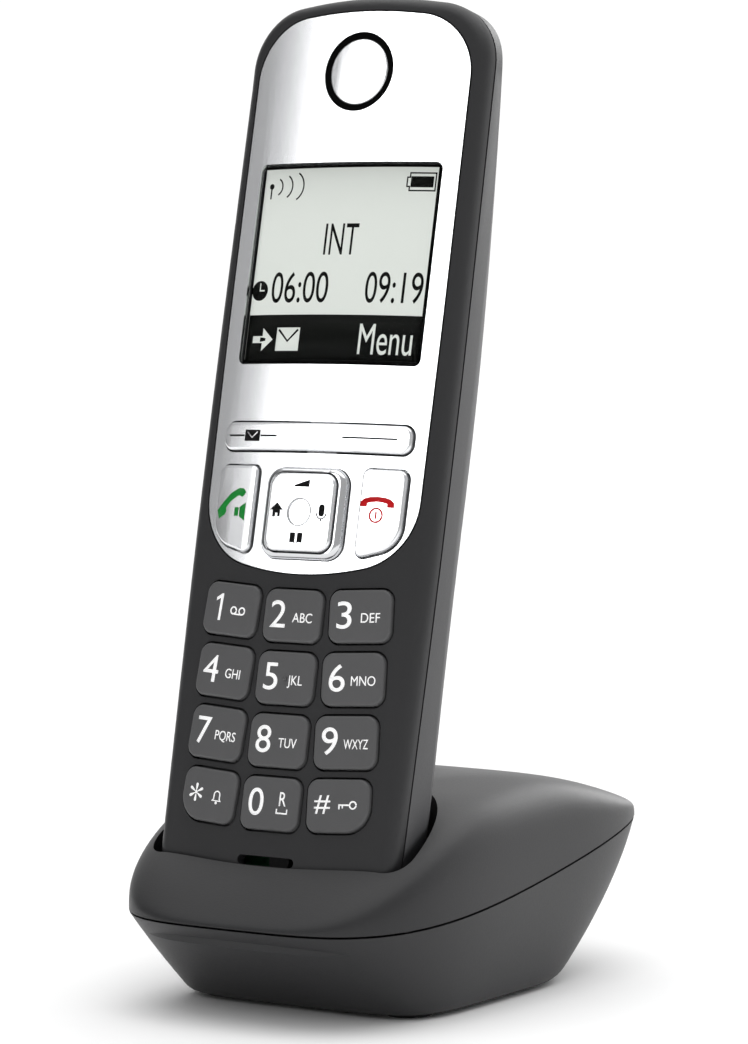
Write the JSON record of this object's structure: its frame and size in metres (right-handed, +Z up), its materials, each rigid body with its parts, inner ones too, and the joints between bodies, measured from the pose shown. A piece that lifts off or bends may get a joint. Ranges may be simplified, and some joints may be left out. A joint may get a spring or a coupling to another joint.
{
  "type": "cordless phone with base",
  "caption": "Slim cordless phone handset with display and keypad, standing tilted in a compact flared charging base.",
  "frame": {"origin": "centre of the base's outline, on the surface it stands on, under the rubber feet", "axes": "+Z up, the front of the phone faces -Y, and +X is on the right for a viewer facing the front"},
  "size_m": [0.0634, 0.0984, 0.1711],
  "materials": {
    "body_abs": "fine-textured anthracite ABS",
    "key_grey": "satin dark grey keycap plastic",
    "silver_lacquer": "silver lacquered plastic",
    "chrome_trim": "bright chrome-plated plastic",
    "black_gloss": "black gloss plastic",
    "window_clear": "clear moulded window",
    "lcd_stack": "grey-green liquid crystal panel",
    "inner_plastic": "moulded black plastic",
    "page_key_plastic": "satin grey plastic",
    "circuit_board": "green solder-masked laminate",
    "spring_steel": "plated steel",
    "gold_contact": "gold-flashed brass",
    "silicone": "grey silicone rubber and polyester film",
    "foot_rubber": "soft black rubber",
    "gimbal_plastic": "white acetal",
    "cell_jacket": "printed cell jacket"
  },
  "bodies": {
    "base": {"base_bottom": "body_abs", "base_top": "body_abs", "base_board": "circuit_board", "base_antennas": "spring_steel", "line_socket": "inner_plastic", "line_contacts": "gold_contact", "power_socket": "inner_plastic", "power_pin": "gold_contact", "page_switch": "inner_plastic", "base_weight": "spring_steel", "contact_carrier": "inner_plastic", "contact_spring_left": "spring_steel", "contact_spring_right": "spring_steel", "base_screws": "spring_steel", "rubber_feet": "foot_rubber"},
    "page_button": {"page_key": "page_key_plastic"},
    "contact_left": {"charge_contact_left": "gold_contact"},
    "contact_right": {"charge_contact_right": "gold_contact"},
    "handset": {"front_shell": "body_abs", "back_shell": "body_abs", "face_plate": "silver_lacquer", "display_window": "window_clear", "display_mask": "black_gloss", "lcd_module": "lcd_stack", "earpiece_ring": "black_gloss", "earpiece_cap": "silver_lacquer", "earpiece_speaker": "inner_plastic", "nav_rim": "chrome_trim", "key_mat": "silicone", "dome_sheet": "silicone", "handset_board": "circuit_board", "microphone": "inner_plastic", "ringer_speaker": "inner_plastic", "handset_antenna": "gold_contact", "shield_can": "spring_steel", "battery_cell_left": "cell_jacket", "battery_cell_right": "cell_jacket", "battery_contacts": "spring_steel", "handset_charge_pads": "gold_contact", "handset_screws": "spring_steel"},
    "battery_cover": {"battery_cover": "body_abs"},
    "soft_key_bar": {"soft_key_bar": "silver_lacquer"},
    "nav_gimbal": {"nav_gimbal": "gimbal_plastic"},
    "nav_pad": {"nav_pad": "silver_lacquer"},
    "talk_key": {"talk_key": "silver_lacquer"},
    "end_key": {"end_key": "silver_lacquer"},
    "key_1": {"key_1": "key_grey"},
    "key_2": {"key_2": "key_grey"},
    "key_3": {"key_3": "key_grey"},
    "key_4": {"key_4": "key_grey"},
    "key_5": {"key_5": "key_grey"},
    "key_6": {"key_6": "key_grey"},
    "key_7": {"key_7": "key_grey"},
    "key_8": {"key_8": "key_grey"},
    "key_9": {"key_9": "key_grey"},
    "key_star": {"key_star": "key_grey"},
    "key_0": {"key_0": "key_grey"},
    "key_hash": {"key_hash": "key_grey"}
  },
  "joints": [
    {"name": "handset_lift", "type": "slide", "parent": "base", "child": "handset", "axis": [0, 0.2113, 0.9774], "range_m": [0, 0.09]},
    {"name": "page_press", "type": "slide", "parent": "base", "child": "page_button", "axis": [0, -1, 0], "range_m": [0, 0.0006], "stiffness_N_per_m": 500, "springref_m": -0.0008},
    {"name": "contact_left_press", "type": "slide", "parent": "base", "child": "contact_left", "axis": [0, -0.2113, -0.9774], "range_m": [0, 0.001], "stiffness_N_per_m": 300, "springref_m": -0.001, "deforming": ["contact_spring_left"]},
    {"name": "contact_right_press", "type": "slide", "parent": "base", "child": "contact_right", "axis": [0, -0.2113, -0.9774], "range_m": [0, 0.001], "stiffness_N_per_m": 300, "springref_m": -0.001, "deforming": ["contact_spring_right"]},
    {"name": "cover_open", "type": "hinge", "parent": "handset", "child": "battery_cover", "pos_m": [0, 0.00712, 0.12494], "axis": [1, 0, 0], "range_deg": [0, 30]},
    {"name": "soft_key_rock", "type": "hinge", "parent": "handset", "child": "soft_key_bar", "pos_m": [0, -0.01946, 0.0957], "axis": [0, 0.2113, 0.9774], "range_deg": [-1.8, 1.8], "stiffness_Nm_per_rad": 0.25},
    {"name": "nav_tilt_updown", "type": "hinge", "parent": "handset", "child": "nav_gimbal", "pos_m": [0, -0.02071, 0.08256], "axis": [1, 0, 0], "range_deg": [-1.7, 1.7], "stiffness_Nm_per_rad": 0.12},
    {"name": "nav_tilt_sides", "type": "hinge", "parent": "nav_gimbal", "child": "nav_pad", "pos_m": [0, -0.02071, 0.08256], "axis": [0, 0.2113, 0.9774], "range_deg": [-1.7, 1.7], "stiffness_Nm_per_rad": 0.12},
    {"name": "talk_key_press", "type": "slide", "parent": "handset", "child": "talk_key", "axis": [0, 0.9774, -0.2113], "range_m": [0, 0.0006], "stiffness_N_per_m": 500, "springref_m": -0.0006},
    {"name": "end_key_press", "type": "slide", "parent": "handset", "child": "end_key", "axis": [0, 0.9774, -0.2113], "range_m": [0, 0.0006], "stiffness_N_per_m": 500, "springref_m": -0.0006},
    {"name": "key_1_press", "type": "slide", "parent": "handset", "child": "key_1", "axis": [0, 0.9774, -0.2113], "range_m": [0, 0.0008], "stiffness_N_per_m": 500, "springref_m": -0.0006},
    {"name": "key_2_press", "type": "slide", "parent": "handset", "child": "key_2", "axis": [0, 0.9774, -0.2113], "range_m": [0, 0.0008], "stiffness_N_per_m": 500, "springref_m": -0.0006},
    {"name": "key_3_press", "type": "slide", "parent": "handset", "child": "key_3", "axis": [0, 0.9774, -0.2113], "range_m": [0, 0.0008], "stiffness_N_per_m": 500, "springref_m": -0.0006},
    {"name": "key_4_press", "type": "slide", "parent": "handset", "child": "key_4", "axis": [0, 0.9774, -0.2113], "range_m": [0, 0.0008], "stiffness_N_per_m": 500, "springref_m": -0.0006},
    {"name": "key_5_press", "type": "slide", "parent": "handset", "child": "key_5", "axis": [0, 0.9774, -0.2113], "range_m": [0, 0.0008], "stiffness_N_per_m": 500, "springref_m": -0.0006},
    {"name": "key_6_press", "type": "slide", "parent": "handset", "child": "key_6", "axis": [0, 0.9774, -0.2113], "range_m": [0, 0.0008], "stiffness_N_per_m": 500, "springref_m": -0.0006},
    {"name": "key_7_press", "type": "slide", "parent": "handset", "child": "key_7", "axis": [0, 0.9774, -0.2113], "range_m": [0, 0.0008], "stiffness_N_per_m": 500, "springref_m": -0.0006},
    {"name": "key_8_press", "type": "slide", "parent": "handset", "child": "key_8", "axis": [0, 0.9774, -0.2113], "range_m": [0, 0.0008], "stiffness_N_per_m": 500, "springref_m": -0.0006},
    {"name": "key_9_press", "type": "slide", "parent": "handset", "child": "key_9", "axis": [0, 0.9774, -0.2113], "range_m": [0, 0.0008], "stiffness_N_per_m": 500, "springref_m": -0.0006},
    {"name": "key_star_press", "type": "slide", "parent": "handset", "child": "key_star", "axis": [0, 0.9774, -0.2113], "range_m": [0, 0.0008], "stiffness_N_per_m": 500, "springref_m": -0.0006},
    {"name": "key_0_press", "type": "slide", "parent": "handset", "child": "key_0", "axis": [0, 0.9774, -0.2113], "range_m": [0, 0.0008], "stiffness_N_per_m": 500, "springref_m": -0.0006},
    {"name": "key_hash_press", "type": "slide", "parent": "handset", "child": "key_hash", "axis": [0, 0.9774, -0.2113], "range_m": [0, 0.0008], "stiffness_N_per_m": 500, "springref_m": -0.0006}
  ]
}
